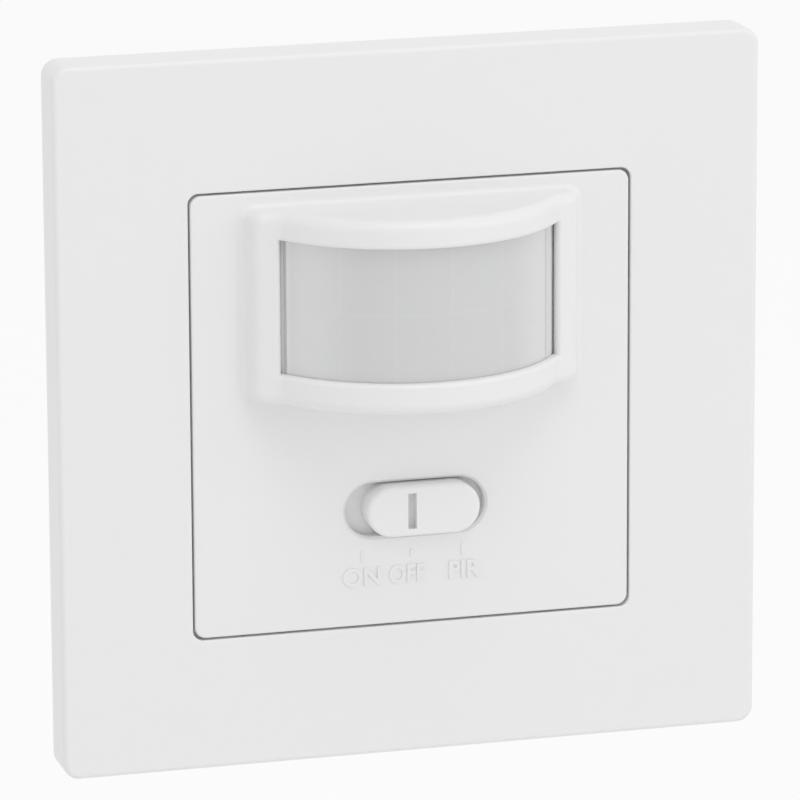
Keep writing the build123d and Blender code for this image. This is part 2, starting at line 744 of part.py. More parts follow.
# Plastic spacer under the can.
with BuildPart() as sensor_spacer:
    drum(sensor_board_front, can_base, spacer_diameter, ((0, sensor_z),))
    drum(sensor_board_front, can_base, lead_diameter + 2 * running_gap, lead_places, mode=Mode.SUBTRACT)
save(sensor_spacer, "sensor_spacer")

# Light sensor that looks out through the lens.
with BuildPart() as light_sensor:
    drum(sensor_board_front, sensor_board_front + light_sensor_height, light_sensor_diameter,
         ((light_sensor_x, light_sensor_z),))
    fillet(light_sensor.faces().sort_by(Axis.Y)[0].edges(), light_sensor_round)
save(light_sensor, "light_sensor")

# Case of the three-position slide switch, open in front for its actuator.
with BuildPart() as switch_case:
    prism(sensor_board_front, switch_case_front, switch_case_width, switch_case_height, (0, slot_centre_z))
    prism(switch_case_front - actuator_root - sliding_gap, switch_case_front,
          actuator_width + slider_travel + 2 * sliding_gap, actuator_height + 2 * sliding_gap,
          (0, slot_centre_z), mode=Mode.SUBTRACT)
save(switch_case, "switch_case")

# Actuator of the slide switch; the fork of the knob straddles it.
with BuildPart() as switch_actuator:
    prism(switch_case_front - actuator_root, switch_case_front + actuator_projection, actuator_width,
          actuator_height, (actuator_x, slot_centre_z))
save(switch_actuator, "switch_actuator")

# Two trimmers: one for the lighting time, one for the light threshold.
trimmer_base_front = sensor_board_front + trimmer_base_thickness
for trimmer_name, x in (("time_trimmer", -trimmer_x), ("light_trimmer", trimmer_x)):
    with BuildPart() as trimmer_base:
        prism(sensor_board_front, trimmer_base_front, trimmer_width, trimmer_height, (x, trimmer_z))
        drum(trimmer_base_front - rotor_stem_length - sliding_gap, trimmer_base_front,
             rotor_stem_diameter + 2 * running_gap, ((x, trimmer_z),), mode=Mode.SUBTRACT)
    save(trimmer_base, f"{trimmer_name}_base")
    with BuildPart() as trimmer_rotor:
        rotor_front = trimmer_base_front + sliding_gap + rotor_thickness
        drum(trimmer_base_front + sliding_gap, rotor_front, rotor_diameter, ((x, trimmer_z),))
        drum(trimmer_base_front - rotor_stem_length, trimmer_base_front + sliding_gap, rotor_stem_diameter,
             ((x, trimmer_z),))
        prism(rotor_front - rotor_slot_depth, rotor_front, rotor_slot_width, rotor_slot_length,
              (x, trimmer_z), mode=Mode.SUBTRACT)
    save(trimmer_rotor, f"{trimmer_name}_rotor")

# Control chip and small surface-mounted parts behind the sensor board.
with BuildPart() as control_chip:
    prism(sensor_board_back - chip_height, sensor_board_back, chip_length, chip_width, (0, chip_z))
save(control_chip, "control_chip")

with BuildPart() as chip_parts:
    with BuildSketch(at(sensor_board_back)):
        with Locations((0, chip_part_z)):
            with GridLocations(chip_part_spacing_x, chip_part_spacing_z, chip_part_columns, chip_part_rows):
                Rectangle(chip_part_length, chip_part_width)
    extrude(amount=-chip_part_height)
save(chip_parts, "chip_parts")

# Header that joins the two boards.
with BuildPart() as header_base:
    prism(main_board_front, main_board_front + header_base_height, header_pins * header_spacing,
          header_base_width, (0, header_z))
    for x in header_places:
        prism(main_board_front, main_board_front + header_base_height, header_hole, header_hole,
              (x, header_z), mode=Mode.SUBTRACT)
save(header_base, "header_base")

with BuildPart() as header_pin_row:
    for x in header_places:
        prism(main_board_back, sensor_board_front + header_pin_tail, header_pin_width,
              header_pin_width, (x, header_z))
save(header_pin_row, "header_pins")

# Parts standing on the back of the power board.
with BuildPart() as relay:
    prism(main_board_back - relay_depth, main_board_back, relay_width, relay_height, (relay_x, relay_z))
    fillet(relay.faces().sort_by(Axis.Y)[-1].edges(), relay_edge_round)
save(relay, "relay")

with BuildPart() as film_capacitor:
    prism(main_board_back - film_capacitor_depth, main_board_back, film_capacitor_width,
          film_capacitor_height, (film_capacitor_x, film_capacitor_z))
    fillet(film_capacitor.faces().sort_by(Axis.Y)[-1].edges(), film_capacitor_round)
save(film_capacitor, "film_capacitor")

with BuildPart() as storage_capacitor:
    drum(main_board_back - storage_capacitor_depth, main_board_back, storage_capacitor_diameter,
         ((storage_capacitor_x, storage_capacitor_z),))
    fillet(storage_capacitor.faces().sort_by(Axis.Y)[-1].edges(), capacitor_edge_round)
save(storage_capacitor, "storage_capacitor")

with BuildPart() as smoothing_capacitor:
    drum(main_board_back - smoothing_capacitor_depth, main_board_back, smoothing_capacitor_diameter,
         ((smoothing_capacitor_x, smoothing_capacitor_z),))
    fillet(smoothing_capacitor.faces().sort_by(Axis.Y)[-1].edges(), capacitor_edge_round)
save(smoothing_capacitor, "smoothing_capacitor")

with BuildPart() as varistor:
    with BuildSketch(Plane.YZ.offset(varistor_x)):
        with Locations((-main_board_back + varistor_diameter / 2, varistor_z)):
            Circle(varistor_diameter / 2)
    extrude(amount=varistor_thickness / 2, both=True)
save(varistor, "varistor")

with BuildPart() as fuse:
    drum(main_board_back - fuse_depth, main_board_back, fuse_diameter, ((fuse_x, fuse_z),))
save(fuse, "fuse")

with BuildPart() as bridge_rectifier:
    prism(main_board_back - bridge_depth, main_board_back, bridge_width, bridge_height, (bridge_x, bridge_z))
save(bridge_rectifier, "bridge_rectifier")

with BuildPart() as power_resistor:
    with BuildSketch(Plane.YZ.offset(resistor_x)):
        with Locations((-main_board_back + resistor_diameter / 2, resistor_z)):
            Circle(resistor_diameter / 2)
    extrude(amount=resistor_length / 2, both=True)
save(power_resistor, "power_resistor")

# Terminal block that stands on the power board and fills the step of the housing.
block_back = main_board_back - block_depth
chamber_centre_z = (chamber_top + chamber_bottom) / 2
cage_centre_z = chamber_bottom + seat_gap + cage_length / 2
with BuildPart() as terminal_block:
    prism(block_back, main_board_back, block_width, block_height, (0, block_centre_z))
    for x in terminal_places:
        prism(chamber_back, chamber_front, chamber_width, chamber_top - chamber_bottom,
              (x, chamber_centre_z), mode=Mode.SUBTRACT)
        prism(chamber_front, main_board_back, contact_width + 2 * running_gap,
              contact_thickness + 2 * running_gap, (x, contact_leg_z), mode=Mode.SUBTRACT)
        drum(block_back, block_back + screw_well_depth, screw_well_diameter, ((x, cage_centre_z),),
             mode=Mode.SUBTRACT)
        drum(block_back, chamber_back, screw_neck_diameter, ((x, cage_centre_z),), mode=Mode.SUBTRACT)
        with BuildSketch(Plane.XY.offset(block_bottom)):
            with Locations((x, -wire_height)):
                Circle(wire_hole_diameter / 2)
        extrude(amount=chamber_wall, mode=Mode.SUBTRACT)
save(terminal_block, "terminal_block")

# One bent contact bar for each terminal.
with BuildPart() as terminal_contacts:
    for x in terminal_places:
        bar_length = contact_leg_z + contact_thickness / 2 - chamber_bottom
        prism(contact_back, contact_front, contact_width, bar_length,
              (x, chamber_bottom + bar_length / 2))
        prism(contact_front, main_board_back, contact_width, contact_thickness, (x, contact_leg_z))
save(terminal_contacts, "terminal_contacts")

# Rising clamp cages and the screws that lift them.
clamp_tip = contact_back - running_gap
clamp_head_front = block_back + screw_well_depth - sliding_gap
for terminal_name, x in zip(terminal_names, terminal_places):
    with BuildPart() as cage:
        prism(cage_back, cage_front, cage_width, cage_length, (x, cage_centre_z))
        prism(cage_back + cage_wall, cage_front - cage_wall, cage_width - 2 * cage_wall, cage_length,
              (x, cage_centre_z), mode=Mode.SUBTRACT)
        drum(cage_back, cage_back + cage_wall, clamp_screw_diameter + 2 * thread_gap, ((x, cage_centre_z),),
             mode=Mode.SUBTRACT)
    save(cage, f"clamp_cage_{terminal_name}")
    with BuildPart() as clamp_screw:
        drum(clamp_head_front, clamp_tip, clamp_screw_diameter, ((x, cage_centre_z),))
        drum(clamp_head_front - clamp_head_height, clamp_head_front, clamp_head_diameter,
             ((x, cage_centre_z),))
        prism(clamp_head_front - clamp_head_height, clamp_head_front - clamp_head_height + drive_slot_depth,
              clamp_head_diameter, drive_slot_width, (x, cage_centre_z), mode=Mode.SUBTRACT)
    save(clamp_screw, f"clamp_screw_{terminal_name}")

# Screws that clamp the tray and the housing to the support frame.
with BuildPart() as assembly_screws:
    head_top = strap_thickness + assembly_head_height
    drum(strap_thickness - assembly_screw_length, strap_thickness, assembly_screw_diameter,
         four(boss_x, boss_z))
    drum(strap_thickness, head_top, assembly_head_diameter, four(boss_x, boss_z))
    for place in four(boss_x, boss_z):
        prism(head_top - drive_slot_depth, head_top, assembly_head_diameter / 2, drive_slot_width, place,
              mode=Mode.SUBTRACT)
        prism(head_top - drive_slot_depth, head_top, drive_slot_width, assembly_head_diameter / 2, place,
              mode=Mode.SUBTRACT)
save(assembly_screws, "assembly_screws")

# Screws that hold the sensor board to the posts of the tray.
with BuildPart() as board_screws:
    drum(sensor_board_back, sensor_board_back + board_screw_length, board_screw_diameter,
         four(post_x, post_z))
    drum(sensor_board_back - board_head_height, sensor_board_back, board_head_diameter, four(post_x, post_z))
    for place in four(post_x, post_z):
        prism(sensor_board_back - board_head_height, sensor_board_back - board_head_height + drive_slot_depth,
              board_head_diameter / 2, drive_slot_width, place, mode=Mode.SUBTRACT)
save(board_screws, "board_screws")
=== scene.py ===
# %% [markdown]
# # A motion sensor light switch
#
# The object is a flush wall switch: a square white cover frame, an inner plate with a bowed
# hood and a milky lens, a small sliding knob, and behind the wall line a steel support frame
# with a deep plastic housing and a block of screw terminals. Its solids come ready made from
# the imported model, so this script only loads them, gives them their finishes, and adds the
# small things that are too fine for the solids.

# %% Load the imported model
import json
from math import cos, pi, radians, sin

import bmesh
import bpy
from mathutils import Matrix, Vector


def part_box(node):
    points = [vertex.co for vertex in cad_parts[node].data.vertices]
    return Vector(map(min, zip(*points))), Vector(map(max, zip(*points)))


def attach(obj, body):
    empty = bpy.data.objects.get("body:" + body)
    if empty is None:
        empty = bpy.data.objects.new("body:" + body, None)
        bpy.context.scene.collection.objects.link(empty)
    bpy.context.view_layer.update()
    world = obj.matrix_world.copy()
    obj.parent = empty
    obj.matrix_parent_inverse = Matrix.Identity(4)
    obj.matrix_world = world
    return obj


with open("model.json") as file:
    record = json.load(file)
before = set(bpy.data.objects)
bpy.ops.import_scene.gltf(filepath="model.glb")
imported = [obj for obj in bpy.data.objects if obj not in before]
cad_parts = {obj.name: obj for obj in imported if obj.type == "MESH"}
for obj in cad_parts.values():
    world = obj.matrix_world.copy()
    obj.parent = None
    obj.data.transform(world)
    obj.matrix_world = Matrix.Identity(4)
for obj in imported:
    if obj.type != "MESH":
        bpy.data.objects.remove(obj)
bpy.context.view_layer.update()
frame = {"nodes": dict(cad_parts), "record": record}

nodes = frame["nodes"]

# %% [markdown]
# ## The camera
#
# The photograph was taken from a little to the left and a little above, with a long lens, so
# the square frame hardly narrows with distance. A camera could be aimed with a constraint, but
# a matrix built from three directions keeps the small roll of the picture exactly.

# %% Camera
camera_azimuth = radians(-15.56)
camera_elevation = radians(14.10)
camera_roll = radians(-0.28)
camera_distance = 0.7134
camera_target = Vector((0.0001, 0, -0.00085))
focal_length = 286.9
sensor_width = 36
nearest_seen = 0.01


def add_object(name, data):
    """An object made from its data and placed in the scene."""
    thing = bpy.data.objects.new(name, data)
    bpy.context.scene.collection.objects.link(thing)
    return thing


back = Vector((sin(camera_azimuth) * cos(camera_elevation),
               -cos(camera_azimuth) * cos(camera_elevation),
               sin(camera_elevation)))
level_right = Vector((cos(camera_azimuth), sin(camera_azimuth), 0))
level_up = back.cross(level_right)
right = level_right * cos(camera_roll) + level_up * sin(camera_roll)
up = level_up * cos(camera_roll) - level_right * sin(camera_roll)

camera_data = bpy.data.cameras.new("photo_camera")
camera_data.lens = focal_length
camera_data.sensor_width = sensor_width
camera_data.clip_start = nearest_seen
camera = add_object("photo_camera", camera_data)
turn = Matrix((right, up, back)).transposed().to_4x4()
camera.matrix_world = Matrix.Translation(camera_target + back * camera_distance) @ turn
bpy.context.scene.camera = camera
print("camera at", [round(value, 4) for value in camera.location])

# %% [markdown]
# ## The studio
#
# White plastic on a white ground is lit almost evenly: a bright surrounding dome gives most of
# the light, and three wide panels, one to the right, one above and a weak one to the left,
# give the faces of the part their small differences. What the part reflects is a pure white
# room. The ground stays well below the part, which hangs as it would on a wall. What the camera
# sees of the ground is nearly pure white, yet part of it is still a lit surface, so it keeps a
# shadow.


# %% Helpers for node trees
def empty_tree(owner):
    """The cleared node tree of a world or a material."""
    owner.use_nodes = True
    owner.node_tree.nodes.clear()
    return owner.node_tree


def add_node(tree, kind, inputs=None, **settings):
    """Adds a node, sets its options, and links or fills its inputs."""
    node = tree.nodes.new(kind)
    for key, value in settings.items():
        setattr(node, key, value)
    for key, value in (inputs or {}).items():
        if isinstance(value, bpy.types.NodeSocket):
            tree.links.new(value, node.inputs[key])
        else:
            node.inputs[key].default_value = value
    return node


def calculate(tree, operation, *values):
    """The result of a math node, whose inputs are given in their order."""
    return add_node(tree, "ShaderNodeMath", dict(enumerate(values)), operation=operation).outputs[0]


def mix_shaders(tree, share, first, second):
    """A shader that goes from the first to the second as the share goes from 0 to 1."""
    return add_node(tree, "ShaderNodeMixShader", {0: share, 1: first, 2: second}).outputs[0]


def seen_directly(tree):
    """1 for what the camera sees, also in a reflection or through glass, and 0 for other light."""
    rays = add_node(tree, "ShaderNodeLightPath").outputs
    plain_or_mirrored = calculate(tree, "MAXIMUM", rays["Is Camera Ray"], rays["Is Glossy Ray"])
    return calculate(tree, "MAXIMUM", plain_or_mirrored, rays["Is Transmission Ray"])


def rgb(red, green, blue):
    """An opaque colour."""
    return (red, green, blue, 1)


def grey(value):
    """An opaque colour with equal shares."""
    return rgb(value, value, value)


white = grey(1)
print("node helpers ready")

# %% Surroundings
dome_strength = 0.70

bpy.context.scene.view_settings.view_transform = "Standard"
surroundings = bpy.data.worlds.new("studio_dome")
bpy.context.scene.world = surroundings
tree = empty_tree(surroundings)
dome_light = add_node(tree, "ShaderNodeBackground", {"Color": white, "Strength": dome_strength})
white_room = add_node(tree, "ShaderNodeBackground", {"Color": white, "Strength": 1.0})
mixed = mix_shaders(tree, seen_directly(tree), dome_light.outputs[0], white_room.outputs[0])
add_node(tree, "ShaderNodeOutputWorld", {"Surface": mixed})
print("dome strength", dome_strength)

# %% Light panels
panel_size = 0.60


def light_panel(name, place, power):
    """A square area light that faces the part."""
    data = bpy.data.lights.new(name, "AREA")
    data.size = panel_size
    data.energy = power
    panel = add_object(name, data)
    panel.location = place
    panel.rotation_euler = (-Vector(place)).to_track_quat("-Z", "Y").to_euler()
    print(name, power, "W")


light_panel("key_panel", (0.70, -0.60, 0.25), 1.2)
light_panel("top_panel", (0.10, -0.45, 0.95), 2.0)
light_panel("left_panel", (-0.80, -0.40, 0.00), 0.6)

# %% Ground
ground_reach = 6.0
ground_level = -0.12
ground_tone = 0.93
pure_white_share = 0.85

ground_mesh = bpy.data.meshes.new("ground")
shape = bmesh.new()
bmesh.ops.create_grid(shape, x_segments=1, y_segments=1, size=ground_reach)
bmesh.ops.translate(shape, verts=shape.verts, vec=(0, 0, ground_level))
shape.to_mesh(ground_mesh)
shape.free()
ground = add_object("ground", ground_mesh)

ground_look = bpy.data.materials.new("pale_ground")
tree = empty_tree(ground_look)
lit = add_node(tree, "ShaderNodeBsdfDiffuse", {"Color": grey(ground_tone)})
glow = add_node(tree, "ShaderNodeEmission", {"Color": white, "Strength": 1.0})
share = calculate(tree, "MULTIPLY", seen_directly(tree), pure_white_share)
mixed = mix_shaders(tree, share, lit.outputs[0], glow.outputs[0])
add_node(tree, "ShaderNodeOutputMaterial", {"Surface": mixed})
ground_mesh.materials.append(ground_look)
print("ground at", ground_level)

# %% [markdown]
# ## Shared effects
#
# Several finishes need the same fine detail at different sizes. Each effect is built once as a
# node group and placed in many materials: the faint grain and tone of moulded plastic, the
# streaks and spangle of zinc plated sheet, and the tracks under a board's green mask.

# %% Helpers for node groups
surface_outputs = (
    ("Colour", "NodeSocketColor"),
    ("Roughness", "NodeSocketFloat"),
    ("Normal", "NodeSocketVector"),
)


def start_group(name, inputs):
    """A new shader group with its sockets, the sockets that it is given, and its output node."""
    group = bpy.data.node_groups.new(name, "ShaderNodeTree")
    for socket_name, socket_type, value in inputs:
        socket = group.interface.new_socket(socket_name, in_out="INPUT", socket_type=socket_type)
        socket.default_value = value
    for socket_name, socket_type in surface_outputs:
        group.interface.new_socket(socket_name, in_out="OUTPUT", socket_type=socket_type)
    return group, group.nodes.new("NodeGroupInput").outputs, group.nodes.new("NodeGroupOutput")


def finish_group(group, result, colour, roughness, normal):
    """Links the three results to the group's outputs."""
    for name, socket in (("Colour", colour), ("Roughness", roughness), ("Normal", normal)):
        group.links.new(socket, result.inputs[name])
    print("effect:", group.name)


def object_place(tree):
    """The point's place on its own object."""
    return add_node(tree, "ShaderNodeTexCoord").outputs["Object"]


def tint(tree, colour, shift):
    """The colour, made lighter or darker by a signed share."""
    factor = calculate(tree, "ADD", shift, 1.0)
    scaled = add_node(tree, "ShaderNodeVectorMath", {0: colour, "Scale": factor}, operation="SCALE")
    return scaled.outputs[0]


def bump(tree, height, strength, distance):
    """A surface direction that follows a height."""
    node = add_node(tree, "ShaderNodeBump",
                    {"Height": height, "Strength": strength, "Distance": distance})
    return node.outputs[0]


print("each effect gives", ", ".join(name for name, kind in surface_outputs))

# %% Moulded plastic
# Fine spark-eroded grain as a bump, and a slow drift of tone as the plastic cooled.
tone_patch_scale = 45.0
sheen_drift = 0.12
full_relief = 0.0001

moulded_skin, given, result = start_group("moulded_skin", (
    ("Colour", "NodeSocketColor", grey(0.8)),
    ("Tone drift", "NodeSocketFloat", 0.02),
    ("Roughness", "NodeSocketFloat", 0.35),
    ("Grain scale", "NodeSocketFloat", 4000.0),
    ("Grain depth", "NodeSocketFloat", 0.05),
))
place = object_place(moulded_skin)
slow = add_node(moulded_skin, "ShaderNodeTexNoise",
                {"Vector": place, "Scale": tone_patch_scale, "Detail": 2.0, "Roughness": 0.5})
grain = add_node(moulded_skin, "ShaderNodeTexNoise",
                 {"Vector": place, "Scale": given["Grain scale"], "Detail": 3.0, "Roughness": 0.6})
centred = calculate(moulded_skin, "SUBTRACT", slow.outputs["Fac"], 0.5)
drift = calculate(moulded_skin, "MULTIPLY", centred, given["Tone drift"])
sheen_shift = calculate(moulded_skin, "MULTIPLY", centred, sheen_drift)
finish_group(moulded_skin, result,
             colour=tint(moulded_skin, given["Colour"], drift),
             roughness=calculate(moulded_skin, "ADD", given["Roughness"], sheen_shift),
             normal=bump(moulded_skin, grain.outputs["Fac"], given["Grain depth"], full_relief))

# %% Plated metal
# Rolling streaks along one direction, and the patchwork of crystals that zinc leaves.
along_streak = 300.0
across_streak = 9000.0
roughness_drift = 0.6

plated_metal, given, result = start_group("plated_metal", (
    ("Colour", "NodeSocketColor", rgb(0.66, 0.67, 0.68)),
    ("Spangle", "NodeSocketFloat", 0.15),
    ("Spangle scale", "NodeSocketFloat", 400.0),
    ("Roughness", "NodeSocketFloat", 0.35),
    ("Streak depth", "NodeSocketFloat", 0.1),
))
place = object_place(plated_metal)
crystals = add_node(plated_metal, "ShaderNodeTexVoronoi",
                    {"Vector": place, "Scale": given["Spangle scale"]})
cell = add_node(plated_metal, "ShaderNodeSeparateColor", {0: crystals.outputs["Color"]})
centred = calculate(plated_metal, "SUBTRACT", cell.outputs[0], 0.5)
shift = calculate(plated_metal, "MULTIPLY", centred, given["Spangle"])
rough_shift = calculate(plated_metal, "MULTIPLY", shift, roughness_drift)
stretch = add_node(plated_metal, "ShaderNodeMapping",
                   {"Vector": place, "Scale": (along_streak, across_streak, across_streak)})
streaks = add_node(plated_metal, "ShaderNodeTexNoise",
                   {"Vector": stretch.outputs[0], "Scale": 1.0, "Detail": 2.0})
finish_group(plated_metal, result,
             colour=tint(plated_metal, given["Colour"], shift),
             roughness=calculate(plated_metal, "ADD", given["Roughness"], rough_shift),
             normal=bump(plated_metal, streaks.outputs["Fac"], given["Streak depth"], full_relief))

# %% Circuit board
# Copper tracks raise the green mask a little and make it paler.
track_relief = 0.00005
track_relief_strength = 0.3
track_roughness = 0.3
rougher_in_gaps = 0.1


def mix_colours(tree, share, first, second):
    """A colour that goes from the first to the second as the share goes from 0 to 1."""
    node = add_node(tree, "ShaderNodeMix", {0: share, 6: first, 7: second}, data_type="RGBA")
    return node.outputs[2]


board_mask, given, result = start_group("board_mask", (
    ("Colour", "NodeSocketColor", rgb(0.04, 0.24, 0.12)),
    ("Track colour", "NodeSocketColor", rgb(0.09, 0.36, 0.16)),
    ("Track scale", "NodeSocketFloat", 260.0),
))
upright = add_node(board_mask, "ShaderNodeMapping",
                   {"Vector": object_place(board_mask), "Rotation": (pi / 2, 0, 0)})
tracks = add_node(board_mask, "ShaderNodeTexBrick", {
    "Vector": upright.outputs[0], "Color1": white, "Color2": white, "Mortar": grey(0),
    "Scale": given["Track scale"], "Mortar Size": 0.06, "Mortar Smooth": 0.2,
    "Brick Width": 1.4, "Row Height": 0.4}).outputs
finish_group(board_mask, result,
             colour=mix_colours(board_mask, tracks["Fac"], given["Track colour"], given["Colour"]),
             roughness=calculate(board_mask, "MULTIPLY_ADD",
                                 tracks["Fac"], rougher_in_gaps, track_roughness),
             normal=bump(board_mask, tracks["Color"], track_relief_strength, track_relief))

# %% [markdown]
# ## Finishes
#
# A finish is one Principled shader fed by a shared effect. What is the same all over the
# surface, such as the metal amount or the coat, is set on the shader itself, because a value
# that arrives through a link is lost when the part is exported.


# %% A helper for finishes
def finish(name, effect, values, **shader):
    """A material whose colour, roughness and normal come from a shared effect."""
    look = bpy.data.materials.new(name)
    tree = empty_tree(look)
    group = add_node(tree, "ShaderNodeGroup", node_tree=effect)
    for key, value in values.items():
        group.inputs[key].default_value = value
    principled = add_node(tree, "ShaderNodeBsdfPrincipled", {
        "Base Color": group.outputs["Colour"],
        "Roughness": group.outputs["Roughness"],
        "Normal": group.outputs["Normal"],
    })
    for key, value in shader.items():
        principled.inputs[key.replace("_", " ")].default_value = value
    add_node(tree, "ShaderNodeOutputMaterial", {"Surface": principled.outputs[0]})
    return look


print("finish helper ready")

# %% Covers and housings
looks = {
    "white_plastic": finish("satin_white", moulded_skin, {
        "Colour": rgb(0.875, 0.874, 0.872), "Tone drift": 0.010, "Roughness": 0.34,
        "Grain scale": 9000.0, "Grain depth": 0.03}, IOR=1.46),
    "knob_plastic": finish("knob_white", moulded_skin, {
        "Colour": rgb(0.900, 0.899, 0.897), "Tone drift": 0.010, "Roughness": 0.30,
        "Grain scale": 9000.0, "Grain depth": 0.02}, IOR=1.46),
    "inner_plastic": finish("inner_white", moulded_skin, {
        "Colour": rgb(0.70, 0.70, 0.68), "Tone drift": 0.04, "Roughness": 0.45,
        "Grain scale": 6000.0, "Grain depth": 0.08}),
    "rotor_plastic": finish("rotor_white", moulded_skin, {
        "Colour": rgb(0.72, 0.72, 0.70), "Tone drift": 0.03, "Roughness": 0.4,
        "Grain scale": 8000.0, "Grain depth": 0.05}),
    "housing_plastic": finish("housing_grey", moulded_skin, {
        "Colour": rgb(0.50, 0.51, 0.52), "Tone drift": 0.06, "Roughness": 0.50,
        "Grain scale": 3500.0, "Grain depth": 0.35}),
    "tray_plastic": finish("tray_grey", moulded_skin, {
        "Colour": rgb(0.20, 0.21, 0.22), "Tone drift": 0.06, "Roughness": 0.50,
        "Grain scale": 3500.0, "Grain depth": 0.30}),
    "terminal_plastic": finish("terminal_grey", moulded_skin, {
        "Colour": rgb(0.22, 0.23, 0.24), "Tone drift": 0.05, "Roughness": 0.42,
        "Grain scale": 5000.0, "Grain depth": 0.15}),
    "black_plastic": finish("black_moulding", moulded_skin, {
        "Colour": rgb(0.03, 0.03, 0.03), "Tone drift": 0.2, "Roughness": 0.42,
        "Grain scale": 6000.0, "Grain depth": 0.1}),
}
print(len(looks), "plastic finishes")

# %% Parts on the boards
looks.update({
    "trimmer_plastic": finish("trimmer_blue", moulded_skin, {
        "Colour": rgb(0.06, 0.16, 0.45), "Tone drift": 0.08, "Roughness": 0.40,
        "Grain scale": 6000.0, "Grain depth": 0.1}),
    "chip_epoxy": finish("chip_black", moulded_skin, {
        "Colour": rgb(0.035, 0.035, 0.037), "Tone drift": 0.3, "Roughness": 0.55,
        "Grain scale": 9000.0, "Grain depth": 0.4}),
    "chip_ceramic": finish("chip_tan", moulded_skin, {
        "Colour": rgb(0.50, 0.40, 0.28), "Tone drift": 0.2, "Roughness": 0.5,
        "Grain scale": 9000.0, "Grain depth": 0.2}),
    "relay_plastic": finish("relay_blue", moulded_skin, {
        "Colour": rgb(0.05, 0.14, 0.42), "Tone drift": 0.08, "Roughness": 0.28,
        "Grain scale": 7000.0, "Grain depth": 0.05}),
    "capacitor_box": finish("potted_yellow", moulded_skin, {
        "Colour": rgb(0.78, 0.55, 0.08), "Tone drift": 0.08, "Roughness": 0.32,
        "Grain scale": 5000.0, "Grain depth": 0.05}),
    "capacitor_sleeve": finish("sleeve_dark", moulded_skin, {
        "Colour": rgb(0.04, 0.05, 0.11), "Tone drift": 0.15, "Roughness": 0.22,
        "Grain scale": 2500.0, "Grain depth": 0.05}),
    "varistor_coat": finish("dipped_blue", moulded_skin, {
        "Colour": rgb(0.05, 0.18, 0.48), "Tone drift": 0.15, "Roughness": 0.25,
        "Grain scale": 1500.0, "Grain depth": 0.3}, Coat_Weight=0.3),
    "fuse_plastic": finish("fuse_brown", moulded_skin, {
        "Colour": rgb(0.10, 0.07, 0.05), "Tone drift": 0.1, "Roughness": 0.45,
        "Grain scale": 6000.0, "Grain depth": 0.1}),
    "resistor_coat": finish("cement_green", moulded_skin, {
        "Colour": rgb(0.38, 0.46, 0.40), "Tone drift": 0.15, "Roughness": 0.6,
        "Grain scale": 3000.0, "Grain depth": 0.6}),
    "sensor_epoxy": finish("clear_epoxy", moulded_skin, {
        "Colour": rgb(0.66, 0.62, 0.54), "Tone drift": 0.05, "Roughness": 0.12,
        "Grain scale": 2000.0, "Grain depth": 0.02}, Coat_Weight=0.5),
    "filter_window": finish("filter_dark", moulded_skin, {
        "Colour": rgb(0.05, 0.05, 0.06), "Tone drift": 0.2, "Roughness": 0.10,
        "Grain scale": 2000.0, "Grain depth": 0.01}, Coat_Weight=0.4),
})
print(len(looks), "finishes without metals")

# %% Metals and boards
looks.update({
    "zinc_sheet": finish("zinc_sheet", plated_metal, {
        "Colour": rgb(0.62, 0.63, 0.64), "Spangle": 0.22, "Spangle scale": 420.0,
        "Roughness": 0.38, "Streak depth": 0.15}, Metallic=0.9),
    "screw_steel": finish("zinc_screw", plated_metal, {
        "Colour": rgb(0.60, 0.60, 0.57), "Spangle": 0.10, "Spangle scale": 1500.0,
        "Roughness": 0.30, "Streak depth": 0.10}, Metallic=1.0),
    "cage_steel": finish("plated_cage", plated_metal, {
        "Colour": rgb(0.58, 0.58, 0.56), "Spangle": 0.12, "Spangle scale": 900.0,
        "Roughness": 0.36, "Streak depth": 0.2}, Metallic=1.0),
    "switch_steel": finish("switch_case_steel", plated_metal, {
        "Colour": rgb(0.64, 0.65, 0.66), "Spangle": 0.08, "Spangle scale": 900.0,
        "Roughness": 0.32, "Streak depth": 0.2}, Metallic=1.0),
    "sensor_can": finish("nickel_can", plated_metal, {
        "Colour": rgb(0.70, 0.69, 0.66), "Spangle": 0.04, "Spangle scale": 1200.0,
        "Roughness": 0.22, "Streak depth": 0.05}, Metallic=1.0),
    "contact_brass": finish("bare_brass", plated_metal, {
        "Colour": rgb(0.74, 0.57, 0.30), "Spangle": 0.10, "Spangle scale": 800.0,
        "Roughness": 0.34, "Streak depth": 0.2}, Metallic=1.0),
    "pin_brass": finish("gold_pins", plated_metal, {
        "Colour": rgb(0.80, 0.62, 0.28), "Spangle": 0.04, "Spangle scale": 2000.0,
        "Roughness": 0.22, "Streak depth": 0.1}, Metallic=1.0),
    "board_laminate": finish("green_board", board_mask, {
        "Colour": rgb(0.03, 0.20, 0.10), "Track colour": rgb(0.06, 0.30, 0.14),
        "Track scale": 260.0}, Coat_Weight=0.3),
})
print(len(looks), "finishes so far")

# %% [markdown]
# ## The milky lens
#
# The window holds a thin bowed strip of polyethylene. Its back is pressed into upright panels,
# each with fine rings that gather the heat of a passing person. From the front only the faint
# borders between the panels show, and the sheet looks greyer than the covers because the dark
# room behind it swallows light. The panels follow the bow, so they are drawn by the angle
# around the bow's own centre. At each end a fine seam parts them from a plain margin.

# %% Where a point of the lens lies
lens_low, lens_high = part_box("fresnel_lens")
lens_radius = 0.0180
bow_centre_y = lens_low[1] + lens_radius
lens_middle_z = (lens_low[2] + lens_high[2]) / 2
panel_angle = radians(20)
panel_shift = 0.75
panel_height = 0.0079

